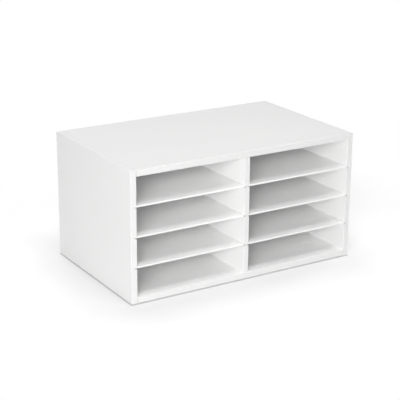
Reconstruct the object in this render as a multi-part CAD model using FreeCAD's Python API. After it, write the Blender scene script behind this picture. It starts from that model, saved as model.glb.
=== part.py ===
import FreeCAD, Part
import math
import os

# Desktop document organizer: a knock-down case of five white boards and a thin back,
# with two columns of thin shelves that slide forward out of grooves.
# Millimetres. +X right, +Y back, +Z up. The origin is on the desk, under the case's middle.

os.makedirs("parts", exist_ok=True)
Vector = FreeCAD.Vector
x_axis = Vector(1, 0, 0)
y_axis = Vector(0, 1, 0)
z_axis = Vector(0, 0, 1)

# Case
case_width = 495.0
case_depth = 304.0
case_height = 254.0
board_thickness = 12.0
board_edge_radius = 0.8
row_count = 4
column_names = ("left", "right")

# Shelves and the grooves that carry them
shelf_thickness = 3.0
shelf_setback = 3.0
shelf_edge_radius = 0.6
shelf_end_play = 1.0
shelf_back_play = 0.5
groove_depth = 4.0
groove_play = 0.5

# Back panel, sunk flush into the four outer boards
back_thickness = 3.0
back_lap = 7.0
back_play = 0.4

# Nails that hold the back panel
nail_diameter = 1.4
nail_length = 16.0
nail_point_length = 2.0
nail_tip_diameter = 0.2
nail_head_diameter = 3.4
nail_head_thickness = 0.5
nail_hole_play = 0.1
nail_count_across = 4
nail_count_up = 2

# Fastener rows, measured along the depth of the case
bolt_row_inset = 50.0
dowel_row_offset = 32.0

# Cam locks, sunk into the undersides of the top and bottom panels
cam_diameter = 11.8
cam_play = 0.1
cam_end_distance = 24.0
cam_cover_skin = 2.2
cam_chamber_radius = 3.7
cam_chamber_offset = 0.6
cam_chamber_height = 5.6
cam_slot_height = 3.2
cam_slot_angle = 215.0
cam_slot_lead_angle = 30.0
cam_slot_side_count = 6
cam_entry_diameter = 5.6
cam_recess_length = 6.4
cam_recess_width = 1.3
cam_recess_depth = 2.0

# Bolts that stand in the side panels and reach into the cams
bolt_thread_diameter = 5.0
bolt_side_skin = 3.0
bolt_collar_diameter = 6.4
bolt_collar_thickness = 1.2
bolt_shank_diameter = 4.6
bolt_bore_diameter = 7.0
bolt_neck_diameter = 2.6
bolt_neck_length = 3.4
bolt_head_diameter = 4.6
bolt_head_flat_diameter = 2.4
bolt_play = 0.1

# Dowels
dowel_diameter = 6.0
dowel_length = 25.0
dowel_chamfer = 0.8
dowel_flute_count = 8
dowel_flute_depth = 0.4
dowel_side_skin = 3.0
dowel_end_play = 0.5
dowel_play = 0.1

# Screws from below into the centre divider
screw_diameter = 3.4
screw_length = 30.0
screw_point_length = 4.0
screw_tip_diameter = 0.4
screw_head_diameter = 7.0
screw_head_height = 2.6
screw_head_rim = 0.4
screw_recess_length = 3.6
screw_recess_width = 0.9
screw_recess_depth = 1.4
screw_play = 0.1

# Foot pads
pad_diameter = 16.0
pad_height = 2.0
pad_rim_chamfer = 0.6
pad_inset = 22.0

# Flat sides round the small turned pieces and their bores, which keep the many fasteners light
small_flat_count = 10
cam_flat_count = 20
nail_flat_count = 6

# Every cut starts or ends this far outside the board
cut_overrun = 1.0

# Places worked out from the sizes above
half_width = case_width / 2
half_depth = case_depth / 2
half_board = board_thickness / 2
inner_half_width = half_width - board_thickness
case_bottom = pad_height
case_top = case_bottom + case_height
inner_bottom = case_bottom + board_thickness
inner_top = case_top - board_thickness
inner_height = inner_top - inner_bottom
back_inner_y = half_depth - back_thickness
column_width = (case_width - 3 * board_thickness) / 2
row_height = (inner_height - shelf_thickness * (row_count - 1)) / row_count
row_pitch = row_height + shelf_thickness
shelf_levels = [inner_bottom + row_pitch * row - shelf_thickness for row in range(1, row_count)]
column_centres = {"left": -half_board - column_width / 2, "right": half_board + column_width / 2}
bolt_row = half_depth - bolt_row_inset
dowel_row = bolt_row - dowel_row_offset
cam_x = inner_half_width - cam_end_distance


def box(x_low, x_high, y_low, y_high, z_low, z_high):
    return Part.makeBox(x_high - x_low, y_high - y_low, z_high - z_low, Vector(x_low, y_low, z_low))


# Corners of a ring about +Z; other_share scales the radius of every other corner, for flutes
def ring(radius, height, flats, other_share=1.0):
    corners = []
    for index in range(flats):
        angle = 2 * math.pi * index / flats
        reach = radius * (other_share if index % 2 else 1.0)
        corners.append(Vector(reach * math.cos(angle), reach * math.sin(angle), height))
    return corners


# Solid through rings of equally many corners, listed from one end to the other
def stacked(rings):
    outlines = [rings[0], rings[-1]]
    for lower, upper in zip(rings, rings[1:]):
        for index in range(len(lower)):
            after = (index + 1) % len(lower)
            outlines.append([lower[index], lower[after], upper[after], upper[index]])
    faces = [Part.Face(Part.makePolygon(outline + outline[:1])) for outline in outlines]
    return Part.makeSolid(Part.makeShell(faces)).removeSplitter()


# Piece turned about +Z from (radius, height) points, with its corners at those radii
def turned(points, flats=small_flat_count):
    return stacked([ring(radius, height, flats) for radius, height in points])


# Bore from a face inwards, with its flats at the given diameter, so that a turned piece clears it
def bore(diameter, start, direction, depth, flats=small_flat_count):
    corner_radius = diameter / 2 / math.cos(math.pi / flats)
    return placed(turned([(corner_radius, -cut_overrun), (corner_radius, depth)], flats), start, direction)


# Puts a shape made along +Z so that it runs from a place towards a direction
def placed(shape, place, direction):
    copy = shape.copy()
    copy.Placement = FreeCAD.Placement(place, FreeCAD.Rotation(z_axis, direction))
    return copy


# Cross-shaped recess, open at height zero and sunk upwards
def cross_recess(length, width, depth):
    half_length = length / 2
    half_wide = width / 2
    bar = box(-half_length, half_length, -half_wide, half_wide, -cut_overrun, depth)
    other_bar = bar.copy()
    other_bar.rotate(Vector(), z_axis, 90)
    return bar.fuse(other_bar).removeSplitter()


# Edges whose two ends both lie on the given planes, such as {"x": 5.0, "y": 2.0}
def edges_on(shape, planes):
    tiny = board_edge_radius / 100
    found = []
    for edge in shape.Edges:
        ends = [vertex.Point for vertex in edge.Vertexes]
        if all(abs(getattr(end, axis) - value) < tiny for end in ends for axis, value in planes.items()):
            found.append(edge)
    return found


def save(name, shape):
    shape.exportStep("parts/" + name + ".step")
    print(name, len(shape.Solids), "solids", round(shape.Volume), "mm3", shape.isValid())


# Space for the back panel, cut flush into the rear of the four outer boards
def back_pocket():
    reach = back_lap + back_play
    half_pocket = inner_half_width + reach
    return box(-half_pocket, half_pocket, back_inner_y, half_depth + cut_overrun,
               inner_bottom - reach, inner_top + reach)


# Through grooves at every shelf level, sunk into the face at face_x towards side (-1 or 1)
def shelf_grooves(face_x, side):
    x_ends = sorted((face_x - side * cut_overrun, face_x + side * groove_depth))
    grooves = []
    for level in shelf_levels:
        grooves.append(box(x_ends[0], x_ends[1], -half_depth - cut_overrun, half_depth + cut_overrun,
                           level, level + shelf_thickness + groove_play))
    return grooves


# The middles of the top and bottom panels, where bolts and dowels run
def panel_middles():
    return (case_bottom + half_board, case_top - half_board)


# Side -1 is the left panel, side 1 the right one
def side_panel(side):
    x_ends = sorted((side * inner_half_width, side * half_width))
    board = box(x_ends[0], x_ends[1], -half_depth, half_depth, case_bottom, case_top)
    eased = edges_on(board, {"x": side * half_width})
    eased += edges_on(board, {"x": side * inner_half_width, "y": -half_depth})
    for y in (-half_depth, half_depth):
        eased += edges_on(board, {"y": y, "z": case_bottom})
        eased += edges_on(board, {"y": y, "z": case_top})
    board = board.makeFillet(board_edge_radius, eased)
    cuts = shelf_grooves(side * inner_half_width, side)
    cuts.append(back_pocket())
    for z in panel_middles():
        for y in (-bolt_row, bolt_row):
            place = Vector(side * inner_half_width, y, z)
            cuts.append(bore(bolt_thread_diameter + 2 * bolt_play, place, x_axis * side,
                             board_thickness - bolt_side_skin))
        for y in (-dowel_row, dowel_row):
            cuts.append(dowel_face_bore(Vector(side * inner_half_width, y, z), x_axis * side))
    return board.cut(cuts).removeSplitter()


# Dowel bores: the short one in a board's face and the long one in a board's edge
def dowel_face_bore(place, direction):
    return bore(dowel_diameter + 2 * dowel_play, place, direction, board_thickness - dowel_side_skin)


def dowel_edge_bore(place, direction):
    depth = dowel_length + 2 * dowel_end_play - (board_thickness - dowel_side_skin)
    return bore(dowel_diameter + 2 * dowel_play, place, direction, depth)


# Cuts that the top and bottom panels share: back pocket, bolt and dowel bores in the ends, cam bores below
def panel_cuts(z_low):
    cuts = [back_pocket()]
    middle = z_low + half_board
    for side in (-1, 1):
        for y in (-bolt_row, bolt_row):
            cuts.append(bore(bolt_bore_diameter, Vector(side * inner_half_width, y, middle), x_axis * -side,
                             cam_end_distance))
            cuts.append(bore(cam_diameter + 2 * cam_play, Vector(side * cam_x, y, z_low), z_axis,
                             board_thickness - cam_cover_skin, cam_flat_count))
        for y in (-dowel_row, dowel_row):
            cuts.append(dowel_edge_bore(Vector(side * inner_half_width, y, middle), x_axis * -side))
    return cuts


def top_panel():
    board = box(-inner_half_width, inner_half_width, -half_depth, half_depth, inner_top, case_top)
    eased = edges_on(board, {"y": -half_depth, "z": case_top})
    eased += edges_on(board, {"y": -half_depth, "z": inner_top})
    eased += edges_on(board, {"y": half_depth, "z": case_top})
    board = board.makeFillet(board_edge_radius, eased)
    cuts = panel_cuts(inner_top)
    for y in (-dowel_row, dowel_row):
        cuts.append(dowel_face_bore(Vector(0, y, inner_top), z_axis))
    return board.cut(cuts).removeSplitter()


def bottom_panel():
    board = box(-inner_half_width, inner_half_width, -half_depth, half_depth, case_bottom, inner_bottom)
    eased = edges_on(board, {"y": -half_depth, "z": case_bottom})
    eased += edges_on(board, {"y": -half_depth, "z": inner_bottom})
    eased += edges_on(board, {"y": half_depth, "z": case_bottom})
    board = board.makeFillet(board_edge_radius, eased)
    cuts = panel_cuts(case_bottom)
    for y in (-dowel_row, dowel_row):
        cuts.append(dowel_face_bore(Vector(0, y, inner_bottom), -z_axis))
    for y in (-bolt_row, bolt_row):
        cuts.append(placed(screw_hole(), Vector(0, y, case_bottom), z_axis))
    return board.cut(cuts).removeSplitter()


def centre_divider():
    board = box(-half_board, half_board, -half_depth, back_inner_y, inner_bottom, inner_top)
    eased = edges_on(board, {"x": -half_board, "y": -half_depth})
    eased += edges_on(board, {"x": half_board, "y": -half_depth})
    board = board.makeFillet(board_edge_radius, eased)
    cuts = shelf_grooves(-half_board, 1) + shelf_grooves(half_board, -1)
    for y in (-dowel_row, dowel_row):
        cuts.append(dowel_edge_bore(Vector(0, y, inner_top), -z_axis))
        cuts.append(dowel_edge_bore(Vector(0, y, inner_bottom), z_axis))
    for y in (-bolt_row, bolt_row):
        cuts.append(placed(screw_hole(), Vector(0, y, case_bottom), z_axis))
    return board.cut(cuts).removeSplitter()


# Places of the nails on the rear face: along the top and bottom, up the sides and the divider
def nail_places():
    nail_x = inner_half_width + back_lap / 2
    nail_low = inner_bottom - back_lap / 2
    nail_high = inner_top + back_lap / 2
    places = []
    for index in range(nail_count_across):
        share = index / (nail_count_across - 1)
        x = -nail_x + 2 * nail_x * share
        places += [(x, nail_low), (x, nail_high)]
    for index in range(nail_count_up):
        z = nail_low + (nail_high - nail_low) * (index + 1) / (nail_count_up + 1)
        places += [(-nail_x, z), (0, z), (nail_x, z)]
    return places


# Holes for the nails, through the back panel and into the boards, with a seat that sinks each head flush
def nail_holes():
    growth = nail_hole_play / math.cos(math.pi / nail_flat_count)
    radius = nail_diameter / 2 + growth
    seat_radius = nail_head_diameter / 2 + growth
    hole = turned([(seat_radius, -cut_overrun), (seat_radius, nail_head_thickness),
                   (radius, nail_head_thickness), (radius, nail_length + nail_hole_play)], nail_flat_count)
    return [placed(hole, Vector(x, half_depth, z), -y_axis) for x, z in nail_places()]


def back_panel():
    half_panel = inner_half_width + back_lap
    board = box(-half_panel, half_panel, back_inner_y, half_depth,
                inner_bottom - back_lap, inner_top + back_lap)
    return board.cut(nail_holes()).removeSplitter()


def shelf(column, level):
    half_shelf = column_width / 2 + groove_depth - shelf_end_play
    centre = column_centres[column]
    front = -half_depth + shelf_setback
    board = box(centre - half_shelf, centre + half_shelf, front, back_inner_y - shelf_back_play,
                level, level + shelf_thickness)
    return board.makeFillet(shelf_edge_radius, edges_on(board, {"y": front, "z": level})
                            + edges_on(board, {"y": front, "z": level + shelf_thickness}))


# One cam lock with its face at height zero, the bolt arriving from +X
def cam_lock():
    radius = cam_diameter / 2
    body = turned([(radius, 0), (radius, board_thickness - cam_cover_skin - cam_play)], cam_flat_count)
    chamber = turned([(cam_chamber_radius, 0), (cam_chamber_radius, cam_chamber_height)])
    chamber.translate(Vector(-cam_chamber_offset, 0, half_board - cam_chamber_height / 2))
    entry = bore(cam_entry_diameter, Vector(0, 0, half_board), -x_axis, radius + cut_overrun)
    recess = cross_recess(cam_recess_length, cam_recess_width, cam_recess_depth)
    recess.rotate(Vector(), z_axis, 45)
    return body.cut([chamber, cam_slot(), entry, recess])


# Wedge that opens the cam's wall for the bolt's neck, from the locked place round to the entry
def cam_slot():
    reach = cam_diameter
    low = half_board - cam_slot_height / 2
    corners = [Vector(0, 0, low)]
    for index in range(cam_slot_side_count + 1):
        angle = math.radians(cam_slot_angle * index / cam_slot_side_count - cam_slot_lead_angle)
        corners.append(Vector(reach * math.cos(angle), reach * math.sin(angle), low))
    return Part.Face(Part.makePolygon(corners + corners[:1])).extrude(z_axis * cam_slot_height)


def cam_locks():
    lock = cam_lock()
    locks = []
    for z in (case_bottom, inner_top):
        for y in (-bolt_row, bolt_row):
            for side in (-1, 1):
                copy = lock.copy()
                copy.rotate(Vector(), z_axis, 0 if side > 0 else 180)
                copy.translate(Vector(side * cam_x, y, z))
                locks.append(copy)
    return Part.makeCompound(locks)


# One bolt along +Z: thread below zero, collar on zero, round head at the far end
def cam_bolt():
    thread_radius = bolt_thread_diameter / 2
    collar_radius = bolt_collar_diameter / 2
    shank_radius = bolt_shank_diameter / 2
    neck_radius = bolt_neck_diameter / 2
    head_radius = bolt_head_diameter / 2
    head_flat_radius = bolt_head_flat_diameter / 2
    thread_end = -(board_thickness - bolt_side_skin - bolt_play)
    taper = thread_radius - neck_radius
    head_rise = head_radius - head_flat_radius
    head_middle = cam_end_distance - cam_chamber_offset
    head_low = head_middle - head_radius
    neck_low = head_low - bolt_neck_length
    return turned([(neck_radius, thread_end), (thread_radius, thread_end + taper), (thread_radius, 0),
                   (collar_radius, 0), (collar_radius, bolt_collar_thickness),
                   (shank_radius, bolt_collar_thickness), (shank_radius, neck_low - taper),
                   (neck_radius, neck_low), (neck_radius, head_low), (head_radius, head_low + head_rise),
                   (head_radius, head_middle + head_radius - head_rise),
                   (head_flat_radius, head_middle + head_radius)])


def cam_bolts():
    bolt = cam_bolt()
    bolts = []
    for z in panel_middles():
        for y in (-bolt_row, bolt_row):
            for side in (-1, 1):
                bolts.append(placed(bolt, Vector(side * inner_half_width, y, z), x_axis * -side))
    return Part.makeCompound(bolts)


# One fluted dowel along +Z, its lower end in a face and the rest in an edge, the joint at zero
def dowel():
    radius = dowel_diameter / 2
    end_radius = radius - dowel_chamfer
    low = -(board_thickness - dowel_side_skin - dowel_end_play)
    high = low + dowel_length
    flute_share = (radius - dowel_flute_depth) / radius
    outline = ((end_radius, low), (radius, low + dowel_chamfer),
               (radius, high - dowel_chamfer), (end_radius, high))
    return stacked([ring(reach, height, 2 * dowel_flute_count, flute_share) for reach, height in outline])


def dowels():
    one = dowel()
    group = []
    for y in (-dowel_row, dowel_row):
        for z in panel_middles():
            for side in (-1, 1):
                group.append(placed(one, Vector(side * inner_half_width, y, z), x_axis * -side))
        group.append(placed(one, Vector(0, y, inner_top), -z_axis))
        group.append(placed(one, Vector(0, y, inner_bottom), z_axis))
    return Part.makeCompound(group)


# Countersunk screw from its face upwards, or with play the hole that it needs
def screw_outline(play, face_height):
    head_radius = screw_head_diameter / 2 + play
    shank_radius = screw_diameter / 2 + play
    shank_end = screw_length - screw_point_length
    return [(head_radius, face_height), (head_radius, screw_head_rim + play),
            (shank_radius, screw_head_height + play), (shank_radius, shank_end + play),
            (screw_tip_diameter / 2 + play, screw_length + play)]


def screw_hole():
    return turned(screw_outline(screw_play / math.cos(math.pi / small_flat_count), -cut_overrun))


def divider_screw():
    recess = cross_recess(screw_recess_length, screw_recess_width, screw_recess_depth)
    return turned(screw_outline(0, 0)).cut(recess)


def divider_screws():
    screw = divider_screw()
    places = [Vector(0, y, case_bottom) for y in (-bolt_row, bolt_row)]
    return Part.makeCompound([placed(screw, place, z_axis) for place in places])


def back_nail():
    radius = nail_diameter / 2
    head_radius = nail_head_diameter / 2
    shank_end = nail_length - nail_point_length
    return turned([(head_radius, 0), (head_radius, nail_head_thickness), (radius, nail_head_thickness),
                   (radius, shank_end), (nail_tip_diameter / 2, nail_length)], nail_flat_count)


def back_nails():
    nail = back_nail()
    return Part.makeCompound([placed(nail, Vector(x, half_depth, z), -y_axis) for x, z in nail_places()])


def foot_pad():
    pad = Part.makeCylinder(pad_diameter / 2, pad_height)
    return pad.makeChamfer(pad_rim_chamfer, edges_on(pad, {"z": 0}))


def foot_pads():
    pad = foot_pad()
    pads = []
    for x in (-half_width + pad_inset, half_width - pad_inset):
        for y in (-half_depth + pad_inset, half_depth - pad_inset):
            pads.append(placed(pad, Vector(x, y, 0), z_axis))
    return Part.makeCompound(pads)


save("left_side_panel", side_panel(-1).cut(nail_holes()))
save("right_side_panel", side_panel(1).cut(nail_holes()))
save("top_panel", top_panel().cut(nail_holes()))
save("bottom_panel", bottom_panel().cut(nail_holes()))
save("centre_divider", centre_divider().cut(nail_holes()))
save("back_panel", back_panel())
for column in column_names:
    for number, level in enumerate(shelf_levels, start=1):
        save(column + "_shelf_" + str(number), shelf(column, level))
save("cam_locks", cam_locks())
save("cam_bolts", cam_bolts())
save("dowels", dowels())
save("divider_screws", divider_screws())
save("back_nails", back_nails())
save("foot_pads", foot_pads())
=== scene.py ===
import math

import bpy
from mathutils import Matrix, Quaternion, Vector


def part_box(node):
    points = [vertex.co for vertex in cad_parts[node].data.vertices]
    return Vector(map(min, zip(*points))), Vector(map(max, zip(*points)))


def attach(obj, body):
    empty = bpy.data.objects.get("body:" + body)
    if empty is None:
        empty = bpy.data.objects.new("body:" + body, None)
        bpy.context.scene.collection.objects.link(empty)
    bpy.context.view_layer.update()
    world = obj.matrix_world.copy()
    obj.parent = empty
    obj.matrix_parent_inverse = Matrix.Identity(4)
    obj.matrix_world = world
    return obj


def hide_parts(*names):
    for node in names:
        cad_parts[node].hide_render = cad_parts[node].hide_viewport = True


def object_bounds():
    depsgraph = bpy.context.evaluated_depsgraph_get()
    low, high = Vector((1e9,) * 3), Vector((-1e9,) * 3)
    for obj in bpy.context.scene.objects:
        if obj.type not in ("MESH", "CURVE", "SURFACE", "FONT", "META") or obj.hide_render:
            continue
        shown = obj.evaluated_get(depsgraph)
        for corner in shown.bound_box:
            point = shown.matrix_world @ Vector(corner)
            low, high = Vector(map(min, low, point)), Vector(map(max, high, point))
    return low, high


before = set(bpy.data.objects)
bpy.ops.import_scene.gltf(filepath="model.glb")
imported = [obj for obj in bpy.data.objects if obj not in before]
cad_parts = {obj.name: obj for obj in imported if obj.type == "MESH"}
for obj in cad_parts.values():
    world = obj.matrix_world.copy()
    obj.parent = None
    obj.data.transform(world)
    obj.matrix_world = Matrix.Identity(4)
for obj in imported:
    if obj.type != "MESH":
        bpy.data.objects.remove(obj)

# White desktop organizer: the case, six sliding shelves and the small fastenings that hold it.
# Metres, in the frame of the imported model: +X right, +Y back, +Z up, the desk at z 0.

packedLow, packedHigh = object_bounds()
mm = 0.001
mostNoise = (0.3, 0.7)                         # between these lie most of a noise's values


# Materials: short helpers for the nodes

def newMaterial(name):
    material = bpy.data.materials.new(name)
    material.use_nodes = True
    return material, material.node_tree, material.node_tree.nodes["Principled BSDF"]


# Each input gets its value, or a link where the value is another node's output
def addNode(tree, kind, values=None, **settings):
    node = tree.nodes.new("ShaderNode" + kind)
    for key, value in settings.items():
        setattr(node, key, value)
    for key, value in (values or {}).items():
        if isinstance(value, bpy.types.NodeSocket):
            tree.links.new(value, node.inputs[key])
        else:
            node.inputs[key].default_value = value
    return node


def objectPoint(tree):
    return addNode(tree, "TexCoord").outputs["Object"]


def objectSpace(tree, shift=(0, 0, 0), stretch=(1, 1, 1)):
    values = {"Vector": objectPoint(tree), "Location": shift, "Scale": stretch}
    return addNode(tree, "Mapping", values).outputs["Vector"]


def axes(tree, space):
    return list(addNode(tree, "SeparateXYZ", {0: space}).outputs)


def noise(tree, space, size, detail=2.0):
    return addNode(tree, "TexNoise", {"Vector": space, "Scale": 1 / size, "Detail": detail}).outputs["Fac"]


def ranged(tree, value, fromLow, fromHigh, toLow=0.0, toHigh=1.0, soft=False):
    values = {"Value": value, "From Min": fromLow, "From Max": fromHigh, "To Min": toLow, "To Max": toHigh}
    way = "SMOOTHSTEP" if soft else "LINEAR"
    return addNode(tree, "MapRange", values, interpolation_type=way).outputs["Result"]


def maths(tree, operation, first, second=0.0):
    return addNode(tree, "Math", {0: first, 1: second}, operation=operation).outputs[0]


def vectorMaths(tree, operation, first, second=(0, 0, 0)):
    node = addNode(tree, "VectorMath", {0: first, 1: second}, operation=operation)
    return node.outputs["Value" if operation == "LENGTH" else "Vector"]


def mixed(tree, share, first, second, way="MIX"):
    first, second = ((*colour, 1) if isinstance(colour, tuple) else colour for colour in (first, second))
    values = {0: share, 6: first, 7: second}              # 6 and 7 are the sockets for colours
    return addNode(tree, "Mix", values, data_type="RGBA", blend_type=way).outputs[2]


def shadersMixed(tree, share, first, second):
    return addNode(tree, "MixShader", {0: share, 1: first.outputs[0], 2: second.outputs[0]})


def bumped(tree, height, rise, normal=None):
    values = {"Height": height, "Strength": 1.0, "Distance": rise}
    if normal:
        values["Normal"] = normal
    return addNode(tree, "Bump", values).outputs["Normal"]


# How far a point lies inside a box, along each axis, from the nearer of its two faces there
def insideDepths(tree, low, high):
    point = objectPoint(tree)
    fromLow = vectorMaths(tree, "SUBTRACT", point, low)
    fromHigh = vectorMaths(tree, "SUBTRACT", high, point)
    return axes(tree, vectorMaths(tree, "MINIMUM", fromLow, fromHigh))


# How far it lies from the nearest face of all, and along that face from its nearest edge
def boardDepths(tree, low, high):
    x, y, z = insideDepths(tree, low, high)
    smaller = maths(tree, "MINIMUM", x, y)
    larger = maths(tree, "MAXIMUM", x, y)
    depth = maths(tree, "MINIMUM", smaller, z)
    alongFace = maths(tree, "MAXIMUM", smaller, maths(tree, "MINIMUM", larger, z))
    return depth, alongFace


# White boards: a matte lacquered face with a fine orange peel, a little duller at its arrises, a hairline
# where its end meets another board, and bare primed fibre in the grooves and bores.
# A pair of depths or widths says where a zone starts to give way and where it has ended.
boardLook = {
    # Painted light and shade inside: the shelves, top and bottom lighter, the walls darker, the right
    # column darker still
    "wallShadedTone": (0.848, 0.848, 0.845), "rightWallShadedTone": (0.822, 0.822, 0.819),
    "shelfLitTone": (0.958, 0.958, 0.955), "rightShelfShadedLitTone": (0.932, 0.932, 0.929),
    "outsideTone": (0.867, 0.867, 0.864), "outsideDepth": (0.2 * mm, 0.4 * mm),
    # Painted shade: the front edges of the case and shelves darker than their faces, the case's darker
    # towards the top
    "edgeShadeTone": ((0.758, 0.758, 0.755), (0.707, 0.707, 0.704)),     # at the case's bottom and top
    "shelfEdgeShadeTone": ((0.83, 0.83, 0.827), (0.83, 0.83, 0.827)), "edgeDepth": (0.2 * mm, 0.6 * mm),
    "fadedShare": 0.985, "fadedSize": 160 * mm,
    "arrisTone": (0.82, 0.82, 0.815), "arrisWidth": (0.2 * mm, 1.1 * mm),
    "wearSize": 9 * mm, "wearNoise": (0.35, 0.7),
    "seamTone": (0.42, 0.42, 0.41), "seamWidth": (0, 0.14 * mm),
    "coreTone": (0.72, 0.715, 0.70), "coreDepth": (0.3 * mm, 0.45 * mm), "coreRoughness": 0.9,
    "fibreShade": 0.8, "fibreSize": 0.8 * mm,
    "roughness": (0.76, 0.82), "roughSize": 20 * mm, "specular": 0.1,
    "peelSize": 1.6 * mm, "peelRise": 0.010 * mm, "grainSize": 0.35 * mm, "grainRise": 0.003 * mm,
}


# The lacquer's tone by zone, with painted light and shade: the case's outside, its inside lighter or darker
# by board, and the front edges darker, from bottom to top
def zonedLightShadeTone(tree, look, insideLightShadeTone, edgeShadeTones, frontY):
    caseLow = packedLow + Vector((0, 0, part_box("left_side_panel")[0].z))
    x, y, z = insideDepths(tree, caseLow, packedHigh)
    depth = maths(tree, "MINIMUM", maths(tree, "MINIMUM", x, y), z)
    tone = mixed(tree, ranged(tree, depth, *look["outsideDepth"]), look["outsideTone"], insideLightShadeTone)
    back, height = axes(tree, objectPoint(tree))[1:]
    edgeFrom, edgeTo = look["edgeDepth"]
    front = ranged(tree, back, frontY + edgeFrom, frontY + edgeTo, 1, 0)
    # Painted shade: the front edges darken from the case's bottom to its top
    edgeShadeTone = mixed(tree, ranged(tree, height, packedLow.z, packedHigh.z), *edgeShadeTones)
    return mixed(tree, front, tone, edgeShadeTone)


# Along an axis marked in flush, the board's ends meet other boards: a hairline shows there, and no arris
def boardMaterial(name, node, look, shift, inside, edge, flush=(0, 0, 0)):
    low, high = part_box(node)
    beyond = Vector(flush)
    material, tree, shader = newMaterial(name)
    shader.inputs["Specular IOR Level"].default_value = look["specular"]
    space = objectSpace(tree, shift)
    depth, alongFace = boardDepths(tree, low - beyond, high + beyond)
    arris = ranged(tree, alongFace, *look["arrisWidth"], 1, 0, soft=True)
    wear = ranged(tree, noise(tree, space, look["wearSize"]), *look["wearNoise"])
    arris = maths(tree, "MULTIPLY", arris, wear)
    core = ranged(tree, depth, *look["coreDepth"])
    # Painted light and shade by zone: the inner faces lighter or darker, the front edges darker
    tone = zonedLightShadeTone(tree, look, look[inside], look[edge], low.y)
    fadedPatches = ranged(tree, noise(tree, space, look["fadedSize"]), *mostNoise)
    faded = mixed(tree, fadedPatches, (1, 1, 1), (look["fadedShare"],) * 3)
    tone = mixed(tree, 1.0, tone, faded, way="MULTIPLY")
    tone = mixed(tree, arris, tone, look["arrisTone"])
    for axis in range(3):
        if flush[axis]:
            end = insideDepths(tree, low, high)[axis]
            tone = mixed(tree, ranged(tree, end, *look["seamWidth"], 1, 0), tone, look["seamTone"])
    darkFibre = tuple(part * look["fibreShade"] for part in look["coreTone"])
    fibre = mixed(tree, noise(tree, space, look["fibreSize"], detail=4), look["coreTone"], darkFibre)
    tone = mixed(tree, core, tone, fibre)
    tree.links.new(tone, shader.inputs["Base Color"])
    dull = ranged(tree, noise(tree, space, look["roughSize"], detail=3), *mostNoise, *look["roughness"])
    dull = maths(tree, "MAXIMUM", dull, maths(tree, "MULTIPLY", core, look["coreRoughness"]))
    tree.links.new(dull, shader.inputs["Roughness"])
    normal = bumped(tree, noise(tree, space, look["peelSize"], detail=1), look["peelRise"])
    normal = bumped(tree, noise(tree, space, look["grainSize"]), look["grainRise"], normal)
    tree.links.new(normal, shader.inputs["Normal"])
    return material


def dress(node, material):
    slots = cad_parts[node].data.materials
    slots.clear()
    slots.append(material)


# Each board: the painted light or shade of its inner faces, and the axes along which its ends meet other
# boards
boards = {
    "left_side_panel": ("wallShadedTone", (0, 0, 0)),
    "right_side_panel": ("rightWallShadedTone", (0, 0, 0)),
    "top_panel": ("shelfLitTone", (1, 0, 0)),
    "bottom_panel": ("shelfLitTone", (1, 0, 0)),
    "centre_divider": ("wallShadedTone", (0, 0, 1)),
    "back_panel": ("wallShadedTone", (0, 0, 0)),
}
for number, (node, (inside, flush)) in enumerate(boards.items()):
    shift = (0.31 * number, 0.17 * number, 0)             # so that no two boards have the same pattern
    dress(node, boardMaterial(node + "_lacquer", node, boardLook, shift, inside, "edgeShadeTone", flush))

shelfNames = sorted(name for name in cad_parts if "_shelf_" in name)
for number, node in enumerate(shelfNames):
    shift = (0.23 * number, 0.41 * number, 0.1)
    # Painted light on the shelves' faces, less of it in the right column
    inside = "shelfLitTone" if node.startswith("left") else "rightShelfShadedLitTone"
    dress(node, boardMaterial(node + "_lacquer", node, boardLook, shift, inside, "shelfEdgeShadeTone"))
print("boards and shelves dressed")


# Finishes of the small pieces

zincLook = {
    "name": "zinc_cast", "tone": (0.60, 0.61, 0.62), "patchTone": (0.44, 0.45, 0.46), "patchSize": 3 * mm,
    "roughness": (0.36, 0.58), "grainSize": 0.5 * mm, "grainRise": 0.02 * mm,
}
steelLook = {
    "name": "steel_plated", "tone": (0.66, 0.66, 0.65), "patchTone": (0.55, 0.56, 0.57),
    "patchSize": 2.5 * mm, "roughness": (0.2, 0.38), "grainSize": 0.25 * mm, "grainRise": 0.004 * mm,
}
beechLook = {
    "tone": (0.62, 0.45, 0.29), "fleckTone": (0.47, 0.31, 0.18), "fleckNoise": (0.4, 0.68),
    "grainSize": 0.35 * mm, "grainLength": 9 * mm, "roughness": (0.6, 0.75), "fibreRise": 0.03 * mm,
}
rubberLook = {
    "tone": (0.72, 0.72, 0.71), "dustTone": (0.62, 0.615, 0.60), "dustSize": 2.5 * mm,
    "dustNoise": (0.45, 0.75), "roughness": (0.62, 0.8), "grainSize": 0.25 * mm, "grainRise": 0.015 * mm,
}


# Dull metal with patches of tone, finer patches of polish, and a grained surface
def metalMaterial(look):
    material, tree, shader = newMaterial(look["name"])
    space = objectSpace(tree)
    patches = ranged(tree, noise(tree, space, look["patchSize"], detail=3), *mostNoise)
    tree.links.new(mixed(tree, patches, look["tone"], look["patchTone"]), shader.inputs["Base Color"])
    shader.inputs["Metallic"].default_value = 1.0
    polish = noise(tree, space, look["patchSize"] / 3, detail=4)
    tree.links.new(ranged(tree, polish, *mostNoise, *look["roughness"]), shader.inputs["Roughness"])
    grain = noise(tree, space, look["grainSize"], detail=3)
    tree.links.new(bumped(tree, grain, look["grainRise"]), shader.inputs["Normal"])
    return material


# Beech: short fine flecks, stretched along X where most of the dowels lie
def beechMaterial(look):
    material, tree, shader = newMaterial("beech_bare")
    space = objectSpace(tree, stretch=(look["grainSize"] / look["grainLength"], 1, 1))
    flecks = ranged(tree, noise(tree, space, look["grainSize"], detail=3), *look["fleckNoise"])
    tree.links.new(mixed(tree, flecks, look["tone"], look["fleckTone"]), shader.inputs["Base Color"])
    tree.links.new(ranged(tree, flecks, 0, 1, *look["roughness"]), shader.inputs["Roughness"])
    tree.links.new(bumped(tree, flecks, look["fibreRise"]), shader.inputs["Normal"])
    return material


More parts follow.
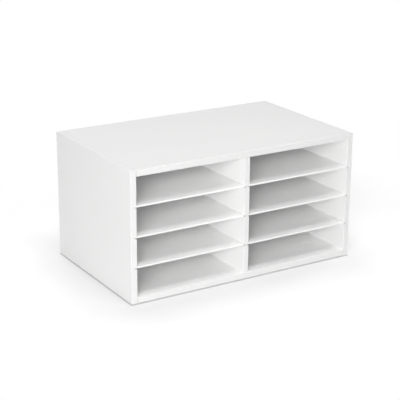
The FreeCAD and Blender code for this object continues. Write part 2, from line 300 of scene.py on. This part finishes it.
def rubberMaterial(look):
    material, tree, shader = newMaterial("rubber_matte")
    space = objectSpace(tree)
    dust = ranged(tree, noise(tree, space, look["dustSize"], detail=4), *look["dustNoise"])
    tree.links.new(mixed(tree, dust, look["tone"], look["dustTone"]), shader.inputs["Base Color"])
    tree.links.new(ranged(tree, dust, 0, 1, *look["roughness"]), shader.inputs["Roughness"])
    grain = noise(tree, space, look["grainSize"])
    tree.links.new(bumped(tree, grain, look["grainRise"]), shader.inputs["Normal"])
    return material


# Modelling helpers: each small piece is shaped upright at the origin, then copied to its places

def clearSelection():
    bpy.ops.object.select_all(action="DESELECT")


def choose(pieces):
    clearSelection()
    for piece in pieces:
        piece.select_set(True)
    bpy.context.view_layer.objects.active = pieces[0]


# The piece at hand, with its place, turn and scale put into its mesh
def settled():
    bpy.ops.object.transform_apply(location=True, rotation=True, scale=True)
    return bpy.context.object


# Leaves edit mode on with the wanted vertices selected, ready for the next operator
def pickVertices(piece, wanted):
    bpy.ops.object.mode_set(mode="EDIT")
    bpy.ops.mesh.select_mode(type="VERT")
    bpy.ops.mesh.select_all(action="DESELECT")
    bpy.ops.object.mode_set(mode="OBJECT")
    for vertex in piece.data.vertices:
        vertex.select = wanted(vertex)
    bpy.ops.object.mode_set(mode="EDIT")


# Turns all faces outwards and leaves edit mode
def closeShape():
    bpy.ops.mesh.select_all(action="SELECT")
    bpy.ops.mesh.normals_make_consistent(inside=False)
    bpy.ops.object.mode_set(mode="OBJECT")


# A turned piece: a disc drawn up ring by ring through (radius, height) steps, with grooves if asked
def turned(name, outline, sides=32, grooveEvery=0, grooveShare=1.0):
    clearSelection()
    radius, height = outline[0]
    bpy.ops.mesh.primitive_circle_add(vertices=sides, radius=radius, fill_type="NGON",
                                      location=(0, 0, height))
    piece = settled()
    piece.name = name
    if grooveEvery:
        pickVertices(piece, lambda vertex: vertex.index % grooveEvery == 0)
        bpy.ops.transform.resize(value=(grooveShare, grooveShare, 1))
    else:
        bpy.ops.object.mode_set(mode="EDIT")
    bpy.ops.mesh.select_all(action="SELECT")
    for (fromRadius, fromHeight), (toRadius, toHeight) in zip(outline, outline[1:]):
        bpy.ops.mesh.extrude_region_move(TRANSFORM_OT_translate={"value": (0, 0, toHeight - fromHeight)})
        growth = toRadius / fromRadius
        bpy.ops.transform.resize(value=(growth, growth, 1))
    closeShape()
    return piece


# A helical ridge round a shank: a small triangle screwed upwards, its two ends closed
def threadRidge(core, crest, pitch, low, high, stepsRound=20):
    clearSelection()
    depth = crest - core
    size, middle = depth / 1.2, core + depth / 6          # the triangle's root stays inside the shank
    bpy.ops.mesh.primitive_circle_add(vertices=3, radius=size, fill_type="NOTHING",
                                      location=(middle, 0, low), rotation=(math.pi / 2, 0, 0))
    ridge = settled()
    winding = ridge.modifiers.new("winding", "SCREW")
    winding.axis = "Z"
    winding.iterations = round((high - low) / pitch)
    winding.screw_offset = pitch
    winding.steps = winding.render_steps = stepsRound
    winding.use_normal_calculate = True
    bpy.ops.object.modifier_apply(modifier="winding")
    bpy.ops.object.mode_set(mode="EDIT")
    bpy.ops.mesh.select_all(action="SELECT")
    bpy.ops.mesh.fill_holes(sides=3)
    closeShape()
    return ridge


def cutAway(piece, cutters):
    for cutter in cutters:
        choose([piece])
        cut = piece.modifiers.new("cut", "BOOLEAN")
        cut.operation = "DIFFERENCE"
        cut.solver = "EXACT"
        cut.object = cutter
        bpy.ops.object.modifier_apply(modifier="cut")
        bpy.data.objects.remove(cutter)


# A cross-shaped cutter for a driver, from just under the face at z 0 up into it, narrower at its far end
def driverCross(look, turn=0.0, taper=0.72):
    below, top = look["crossBelow"], look["crossDepth"]
    bars = []
    for angle in (turn, turn + math.pi / 2):
        clearSelection()
        bpy.ops.mesh.primitive_cube_add(size=1, location=(0, 0, (top - below) / 2), rotation=(0, 0, angle),
                                        scale=(look["crossLength"], look["crossWidth"], top + below))
        bar = settled()
        pickVertices(bar, lambda vertex: vertex.co.z > top / 2)
        bpy.ops.transform.resize(value=(taper, taper, 1))
        bpy.ops.object.mode_set(mode="OBJECT")
        bars.append(bar)
    return bars


# Shades a finished piece smooth, up to a crease
def smoothed(piece, crease=32):
    choose([piece])
    bpy.ops.object.shade_smooth_by_angle(angle=math.radians(crease))


# Copies an upright piece so that it runs from each place towards a direction, and joins the copies
def placedGroup(name, piece, spots, body, node, material):
    copies = []
    for place, direction, turn in spots:
        copy = piece.copy()
        copy.data = piece.data.copy()
        bpy.context.scene.collection.objects.link(copy)
        facing = Vector(direction).to_track_quat("Z", "Y") @ Quaternion((0, 0, 1), turn)
        copy.data.transform(facing.to_matrix().to_4x4())
        copy.data.transform(Matrix.Translation(place))
        copies.append(copy)
    bpy.data.objects.remove(piece)
    choose(copies)
    bpy.ops.object.join()
    group = bpy.context.object
    group.name = name
    group.data.name = name
    group.data.materials.clear()
    group.data.materials.append(material)
    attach(group, body)
    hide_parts(node)


# Where the fastenings sit, read from the boards that they join
topLow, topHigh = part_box("top_panel")
bottomLow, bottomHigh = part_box("bottom_panel")
backLow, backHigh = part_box("back_panel")
jointX = topHigh.x
panelMiddles = ((bottomLow.z + bottomHigh.z) / 2, (topLow.z + topHigh.z) / 2)
right, left, up, down, forward = (1, 0, 0), (-1, 0, 0), (0, 0, 1), (0, 0, -1), (0, -1, 0)


# Cam locks: die-cast, each with a chamber for the bolt's head, a slot round to its entry and a driver cross

camLook = {
    "radius": 5.9 * mm, "height": 9.7 * mm, "rim": 0.35 * mm, "sides": 48, "middle": 6.0 * mm,
    "chamberRadius": 3.7 * mm, "chamberShift": 0.6 * mm, "chamberHeight": 5.6 * mm,
    "slotHeight": 3.2 * mm, "slotReach": 7.67 * mm, "slotFrom": -33.75, "slotTo": 183.75,
    "entryRadius": 2.6 * mm, "entrySides": 32,
    "crossLength": 6.4 * mm, "crossWidth": 1.3 * mm, "crossDepth": 2.0 * mm, "crossBelow": 0.5 * mm,
    "markRadius": 0.75 * mm, "markOut": 4.55 * mm, "markDepth": 0.25 * mm,
}


def discCutter(radius, height, middle, shift=0.0, sides=40):
    clearSelection()
    bpy.ops.mesh.primitive_cylinder_add(vertices=sides, radius=radius, depth=height,
                                        location=(shift, 0, middle))
    return settled()


# A disc from an angle round to another, past a half turn: the wedge between the two is taken out of it
def sectorCutter(radius, height, middle, fromAngle, toAngle):
    sector = discCutter(radius, height, middle)
    wedge = discCutter(2 * radius, 2 * height, middle)
    bpy.ops.object.mode_set(mode="EDIT")
    for halfFrom in (toAngle, fromAngle + 180):           # each cut keeps the half turn from its angle on
        angle = math.radians(halfFrom)
        bpy.ops.mesh.select_all(action="SELECT")
        bpy.ops.mesh.bisect(plane_co=(0, 0, 0), plane_no=(-math.sin(angle), math.cos(angle), 0),
                            use_fill=True, clear_inner=True)
    bpy.ops.object.mode_set(mode="OBJECT")
    cutAway(sector, [wedge])
    return sector


def makeCamLocks(look):
    rim, radius, height, middle = look["rim"], look["radius"], look["height"], look["middle"]
    outline = [(radius - rim, 0), (radius, rim), (radius, height - rim), (radius - rim, height)]
    cam = turned("cam", outline, look["sides"])
    chamber = discCutter(look["chamberRadius"], look["chamberHeight"], middle, -look["chamberShift"])
    reach = look["slotReach"]
    slot = sectorCutter(reach, look["slotHeight"], middle, look["slotFrom"], look["slotTo"])
    clearSelection()
    bpy.ops.mesh.primitive_cylinder_add(vertices=look["entrySides"], radius=look["entryRadius"],
                                        depth=reach, location=(-reach / 2, 0, middle),
                                        rotation=(0, math.pi / 2, 0))
    entry = settled()
    mark = discCutter(look["markRadius"], 2 * look["markDepth"], 0, -look["markOut"], sides=3)
    cutAway(cam, [chamber, slot, entry, mark, *driverCross(look, turn=math.pi / 4)])
    smoothed(cam)
    camLow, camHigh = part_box("cam_locks")
    x, y = camHigh.x - radius, camHigh.y - radius
    spots = [((side * x, row * y, z), up, 0 if side > 0 else math.pi)     # each entry faces its bolt
             for z in (camLow.z, camHigh.z - height) for side in (-1, 1) for row in (-1, 1)]
    placedGroup("camLocksCast", cam, spots, "case", "cam_locks", metalMaterial(zincLook))


# Cam bolts: a threaded end in the side panel, a collar, and a ball head that a cam pulls on

boltLook = {
    "threadCore": 2.05 * mm, "threadCrest": 2.5 * mm, "threadPitch": 1.25 * mm, "threadLength": 8.6 * mm,
    "tipRadius": 1.23 * mm, "tipLength": 1.025 * mm, "collarRadius": 3.2 * mm, "collarHeight": 1.2 * mm,
    "shankRadius": 2.3 * mm, "neckRadius": 1.3 * mm, "neckLength": 3.4 * mm, "ease": 0.25 * mm,
    "headRadius": 2.3 * mm, "headLow": -55, "headHigh": 60, "headSteps": 7, "headSquash": 0.95,
    "reach": 23.4 * mm, "turnStep": 0.4,
    "crossLength": 2.2 * mm, "crossWidth": 0.55 * mm, "crossDepth": 0.9 * mm, "crossBelow": 0.3 * mm,
}


def makeCamBolts(look):
    ease, shank, neck, head = look["ease"], look["shankRadius"], look["neckRadius"], look["headRadius"]
    core, collar, collarTop = look["threadCore"], look["collarRadius"], look["collarHeight"]
    threadLow = look["tipLength"] - look["threadLength"]
    neckTop = look["reach"] - head
    neckLow = neckTop - look["neckLength"]
    outline = [(look["tipRadius"], -look["threadLength"]), (core, threadLow), (core, 0),
               (collar - ease, 0), (collar, ease), (collar, collarTop - ease), (collar - ease, collarTop),
               (shank, collarTop), (shank, neckLow - (shank - neck)), (neck, neckLow),
               (neck, neckTop - ease)]
    for step in range(1, look["headSteps"] + 1):          # the ball head, flat at its end
        share = step / look["headSteps"]
        angle = math.radians(look["headLow"] + (look["headHigh"] - look["headLow"]) * share)
        rise = head * look["headSquash"] * math.sin(angle)
        outline.append((head * math.cos(angle), look["reach"] + rise))
    bolt = turned("bolt", outline)
    end = outline[-1][1]
    cross = driverCross(look)
    for bar in cross:                          # turned over, so that it cuts down into the head's end
        choose([bar])
        bpy.ops.transform.rotate(value=math.pi, orient_axis="X", center_override=(0, 0, 0))
        bpy.ops.transform.translate(value=(0, 0, end))
        settled()
    cutAway(bolt, cross)
    thread = threadRidge(core, look["threadCrest"], look["threadPitch"], threadLow, -look["threadPitch"])
    choose([bolt, thread])
    bpy.ops.object.join()
    smoothed(bolt)
    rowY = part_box("cam_locks")[1].y - camLook["radius"]
    places = [(side, row, z) for z in panelMiddles for side in (-1, 1) for row in (-1, 1)]
    spots = [((side * jointX, row * rowY, z), left if side > 0 else right, look["turnStep"] * number)
             for number, (side, row, z) in enumerate(places)]
    placedGroup("camBoltsTurned", bolt, spots, "case", "cam_bolts", metalMaterial(steelLook))


# Dowels: fluted beech pins with eased ends

dowelLook = {
    "radius": 3.0 * mm, "ease": 0.8 * mm, "easeRound": (0.4, 0.35), "below": 8.5 * mm, "length": 25.0 * mm,
    "sides": 54, "grooveEvery": 3, "grooveShare": 0.9, "turnStep": 0.7, "middleTurns": (0.5, 1.1),
}


def makeDowels(look):
    radius, low, high = look["radius"], -look["below"], look["length"] - look["below"]
    ease = look["ease"]
    roundIn, roundUp = (ease * share for share in look["easeRound"])
    outline = [(radius - ease, low), (radius - roundIn, low + roundUp), (radius, low + ease),
               (radius, high - ease), (radius - roundIn, high - roundUp), (radius - ease, high)]
    pin = turned("pin", outline, look["sides"], look["grooveEvery"], look["grooveShare"])
    smoothed(pin, crease=40)
    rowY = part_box("dowels")[1].y - radius
    topTurn, bottomTurn = look["middleTurns"]
    spots = []
    for row in (-1, 1):
        for z in panelMiddles:
            for side in (-1, 1):
                turn = look["turnStep"] * len(spots)
                spots.append(((side * jointX, row * rowY, z), left if side > 0 else right, turn))
        spots.append(((0, row * rowY, topLow.z), down, topTurn + row))
        spots.append(((0, row * rowY, bottomHigh.z), up, bottomTurn + row))
    placedGroup("dowelsFluted", pin, spots, "case", "dowels", beechMaterial(beechLook))


# Screws from below into the divider: countersunk, cross-driven, with a wood thread

screwLook = {
    "headRadius": 3.5 * mm, "headEase": (0.25 * mm, 0.15 * mm), "headRim": 0.4 * mm, "headHeight": 2.6 * mm,
    "shankRadius": 1.7 * mm, "plainTo": 11.0 * mm, "core": 1.15 * mm, "pitch": 1.6 * mm,
    "threadTo": 25.4 * mm, "pointFrom": 26.0 * mm, "length": 30.0 * mm, "tipRadius": 0.15 * mm,
    "crossLength": 3.6 * mm, "crossWidth": 0.9 * mm, "crossDepth": 1.4 * mm, "crossBelow": 0.3 * mm,
    "turns": {-1: -0.45, 1: 1.15},
}


def makeDividerScrews(look):
    head, shank, core, plainTo = look["headRadius"], look["shankRadius"], look["core"], look["plainTo"]
    easeIn, easeUp = look["headEase"]
    outline = [(head - easeIn, 0), (head, easeUp), (head, look["headRim"]), (shank, look["headHeight"]),
               (shank, plainTo), (core, plainTo + shank - core), (core, look["pointFrom"]),
               (look["tipRadius"], look["length"])]
    screw = turned("screw", outline)
    cutAway(screw, driverCross(look))
    thread = threadRidge(core, shank, look["pitch"], plainTo + look["pitch"], look["threadTo"])
    choose([screw, thread])
    bpy.ops.object.join()
    smoothed(screw)
    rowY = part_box("divider_screws")[1].y - head
    spots = [((0, row * rowY, bottomLow.z), up, turn) for row, turn in look["turns"].items()]
    placedGroup("dividerScrewsSunk", screw, spots, "case", "divider_screws",
                metalMaterial(steelLook))


# Nails round the back panel: flat heads sunk flush, ringed shanks
# The steps of the head are its radius and depth in mm.

nailLook = {
    "head": ((1.24, 0.04), (1.46, 0.10), (1.54, 0.22), (1.50, 0.45), (0.68, 0.50)),
    "shankRadius": 0.68 * mm, "ringCount": 5, "ringPitch": 0.8 * mm, "ringFrom": 1.2 * mm,
    "ringDepth": 0.07 * mm, "ringWidth": 0.3 * mm, "pointFrom": 14.0 * mm, "length": 16.0 * mm,
    "tipRadius": 0.1 * mm, "sides": 20, "countAcross": 4, "countUp": 2, "turnStep": 0.9,
}


def makeBackNails(look):
    shank, width = look["shankRadius"], look["ringWidth"]
    outline = [(radius * mm, depth * mm) for radius, depth in look["head"]]
    for ring in range(look["ringCount"]):
        z = look["ringFrom"] + look["ringPitch"] * ring
        outline += [(shank, z), (shank - look["ringDepth"], z + width / 2), (shank, z + width)]
    outline += [(shank, look["pointFrom"]), (look["tipRadius"], look["length"])]
    nail = turned("nail", outline, look["sides"])
    smoothed(nail)
    nailX = (jointX + backHigh.x) / 2
    nailLow, nailHigh = (backLow.z + bottomHigh.z) / 2, (backHigh.z + topLow.z) / 2
    places = []
    for index in range(look["countAcross"]):
        x = -nailX + 2 * nailX * index / (look["countAcross"] - 1)
        places += [(x, nailLow), (x, nailHigh)]
    for index in range(look["countUp"]):
        z = nailLow + (nailHigh - nailLow) * (index + 1) / (look["countUp"] + 1)
        places += [(-nailX, z), (0, z), (nailX, z)]
    spots = [((x, backHigh.y, z), forward, look["turnStep"] * number)
             for number, (x, z) in enumerate(places)]
    placedGroup("backNailsFlush", nail, spots, "case", "back_nails", metalMaterial(steelLook))


# Foot pads: soft rubber discs, a little domed where they meet the desk

padLook = {
    "radius": 8.0 * mm, "height": 2.0 * mm, "sides": 56, "contactRadius": 3.63 * mm,
    "flatRadius": 6.6 * mm, "flatRise": 0.06 * mm, "roundRise": 0.9 * mm, "roundSteps": 5,
    "topEase": ((0, 0.35), (0.08, 0.1), (0.25, 0)),       # in and down from the upper edge, in mm
    "turnStep": 0.3,
}


def makeFootPads(look):
    radius, height, flat, rise = look["radius"], look["height"], look["flatRadius"], look["flatRise"]
    outline = [(look["contactRadius"], 0), (flat, rise)]
    for step in range(1, look["roundSteps"] + 1):
        angle = math.pi / 2 * step / look["roundSteps"]
        ringHeight = rise + look["roundRise"] * (1 - math.cos(angle))
        outline.append((flat + (radius - flat) * math.sin(angle), ringHeight))
    outline += [(radius - inward * mm, height - drop * mm) for inward, drop in look["topEase"]]
    pad = turned("pad", outline, look["sides"])
    smoothed(pad, crease=50)
    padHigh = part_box("foot_pads")[1]
    x, y = padHigh.x - radius, padHigh.y - radius
    spots = [((side * x, row * y, 0), up, look["turnStep"] * side + row)
             for side in (-1, 1) for row in (-1, 1)]
    placedGroup("footPadsDomed", pad, spots, "case", "foot_pads", rubberMaterial(rubberLook))


makeCamLocks(camLook)
makeCamBolts(boltLook)
makeDowels(dowelLook)
makeDividerScrews(screwLook)
makeBackNails(nailLook)
makeFootPads(padLook)
print("fastenings and feet modelled")


# Stage: a white floor that keeps the shadow and adds a painted contact shade round the case and painted
# shade under it, and a white surround.
# Distances on the floor are in metres, those of the contact shade in its own half sizes.

stageLook = {
    "floorSize": 16.0, "floorTone": (0.80, 0.80, 0.80), "seenTone": (0.62, 0.62, 0.62), "whiteLift": 0.445,
    "contactShade": 0.861, "shadeMiddle": (-0.032, -0.028), "shadeHalf": (0.302, 0.173), "shadePower": 3,
    "shadeFrom": 0.70, "shadeTo": 1.51, "underShade": 0.65, "underReach": 3 * mm,
    "underGlow": 0.16, "glowReach": 0.5 * mm,
    "shadowTo": 0.12, "whiteFrom": 0.45, "skyLight": 0.08,
}


# 1 where the camera, a mirror or glass looks, 0 where light bounces
def seenRays(tree):
    path = addNode(tree, "LightPath")
    seen = maths(tree, "MAXIMUM", path.outputs["Is Camera Ray"], path.outputs["Is Glossy Ray"])
    return maths(tree, "MAXIMUM", seen, path.outputs["Is Transmission Ray"])


# How far a point of the floor lies from the case's outline, 0 under the case
def outlineDistance(tree):
    away = vectorMaths(tree, "ABSOLUTE", objectPoint(tree))
    past = vectorMaths(tree, "SUBTRACT", away, (packedHigh.x, packedHigh.y, 0))
    return vectorMaths(tree, "LENGTH", vectorMaths(tree, "MAXIMUM", past))


# How far it lies from the painted contact shade's middle, measured in the half sizes of a box with round
# corners
def shadeDistance(tree, look):
    middle, half, power = look["shadeMiddle"], look["shadeHalf"], look["shadePower"]
    space = objectSpace(tree, [-m / h for m, h in zip(middle, half)] + [0], [1 / h for h in half] + [1])
    x, y = (maths(tree, "POWER", maths(tree, "ABSOLUTE", away), power) for away in axes(tree, space)[:2])
    return maths(tree, "POWER", maths(tree, "ADD", x, y), 1 / power)


def floorMaterial(look):
    material, tree, shader = newMaterial("floor_white")
    shader.inputs["Roughness"].default_value = 1.0
    shader.inputs["Specular IOR Level"].default_value = 0.0
    shader.inputs["Emission Color"].default_value = (1, 1, 1, 1)
    seen = seenRays(tree)
    distance = outlineDistance(tree)
    # Painted shade: the floor darker round the case, most towards its front left, and darker still under it
    # and just round it
    shade = ranged(tree, shadeDistance(tree, look), look["shadeFrom"], look["shadeTo"],
                   look["contactShade"], 1, soft=True)
    underShade = ranged(tree, distance, 0, look["underReach"], look["underShade"], 1)
    shade = maths(tree, "MULTIPLY", shade, underShade)
    seenTone = mixed(tree, shade, (0, 0, 0), look["seenTone"])
    tree.links.new(mixed(tree, seen, look["floorTone"], seenTone), shader.inputs["Base Color"])
    lift = maths(tree, "MULTIPLY", seen, maths(tree, "MULTIPLY", shade, look["whiteLift"]))
    underGlow = ranged(tree, distance, 0, look["glowReach"], look["underGlow"], 0)    # lights the underside
    glow = maths(tree, "MULTIPLY", maths(tree, "SUBTRACT", 1, seen), underGlow)
    tree.links.new(maths(tree, "ADD", lift, glow), shader.inputs["Emission Strength"])
    white = addNode(tree, "Emission", {"Strength": 1.0})
    far = ranged(tree, distance, look["shadowTo"], look["whiteFrom"], soft=True)
    faded = shadersMixed(tree, maths(tree, "MULTIPLY", seen, far), shader, white)     # far off, plain white
    fromBelow = addNode(tree, "NewGeometry").outputs["Backfacing"]
    clear = addNode(tree, "BsdfTransparent")
    surface = shadersMixed(tree, fromBelow, faded, clear)              # seen from below, it isn't there
    tree.links.new(surface.outputs[0], tree.nodes["Material Output"].inputs["Surface"])
    return material


def makeFloor(look):
    clearSelection()
    bpy.ops.mesh.primitive_plane_add(size=look["floorSize"])
    floor = bpy.context.object
    floor.name = "floor"
    floor.data.materials.append(floorMaterial(look))


def makeWorld(look):
    world = bpy.data.worlds.new("surround")
    bpy.context.scene.world = world
    world.use_nodes = True
    tree = world.node_tree
    sky = tree.nodes["Background"]
    sky.inputs["Strength"].default_value = look["skyLight"]
    sky.inputs["Color"].default_value = (1, 1, 1, 1)
    white = addNode(tree, "Background", {"Strength": 1.0, "Color": (1, 1, 1, 1)})
    shown = shadersMixed(tree, seenRays(tree), sky, white)
    tree.links.new(shown.outputs[0], tree.nodes["World Output"].inputs["Surface"])


makeFloor(stageLook)
makeWorld(stageLook)

# Soft lamps round the object: azimuth 0 is in front, minus is to the left
lamps = {
    "key": {"azimuth": -45, "elevation": 15, "distance": 4.0, "size": 1.4, "power": 82},
    "fill": {"azimuth": -30, "elevation": 15, "distance": 4.0, "size": 1.4, "power": 63},
    "overhead": {"azimuth": 0, "elevation": 71, "distance": 2.2, "size": 0.8, "power": 17},
    "behindTop": {"azimuth": 180, "elevation": 75, "distance": 2.2, "size": 1.2, "power": 10.8},
    "side": {"azimuth": 100, "elevation": 10, "distance": 4.0, "size": 1.4, "power": 40},
    "rear": {"azimuth": 172, "elevation": 10, "distance": 4.0, "size": 1.4, "power": 50},
}


# Unit vector from the object towards a viewing or lighting angle
def towards(azimuth, elevation):
    a, e = math.radians(azimuth), math.radians(elevation)
    return Vector((math.sin(a) * math.cos(e), -math.cos(a) * math.cos(e), math.sin(e)))


def makeLamp(name, lamp):
    data = bpy.data.lights.new(name, "AREA")
    data.shape = "SQUARE"
    data.size = lamp["size"]
    data.energy = lamp["power"]
    holder = bpy.data.objects.new(name, data)
    bpy.context.scene.collection.objects.link(holder)
    way = towards(lamp["azimuth"], lamp["elevation"])
    holder.location = (packedLow + packedHigh) / 2 + way * lamp["distance"]
    holder.rotation_euler = (-way).to_track_quat("-Z", "Y").to_euler()


for name, lamp in lamps.items():
    makeLamp(name, lamp)
print("stage and lamps set")


# Camera at the photograph's viewing angle

camera = {
    "place": (-1.1925, -1.9218, 0.8830), "azimuth": -31.606, "elevation": 18.728, "roll": 0.339,
    "lens": 107.8, "sensor": 36.0,
}


def makeCamera(look):
    data = bpy.data.cameras.new("camera")
    data.sensor_width = look["sensor"]
    data.lens = look["lens"]
    holder = bpy.data.objects.new("camera", data)
    bpy.context.scene.collection.objects.link(holder)
    bpy.context.scene.camera = holder
    back = towards(look["azimuth"], look["elevation"])
    holder.location = look["place"]
    holder.rotation_mode = "QUATERNION"
    roll = Quaternion((0, 0, 1), math.radians(look["roll"]))
    holder.rotation_quaternion = (-back).to_track_quat("-Z", "Y") @ roll


makeCamera(camera)
bpy.context.scene.view_settings.view_transform = "Standard"
print("camera set")
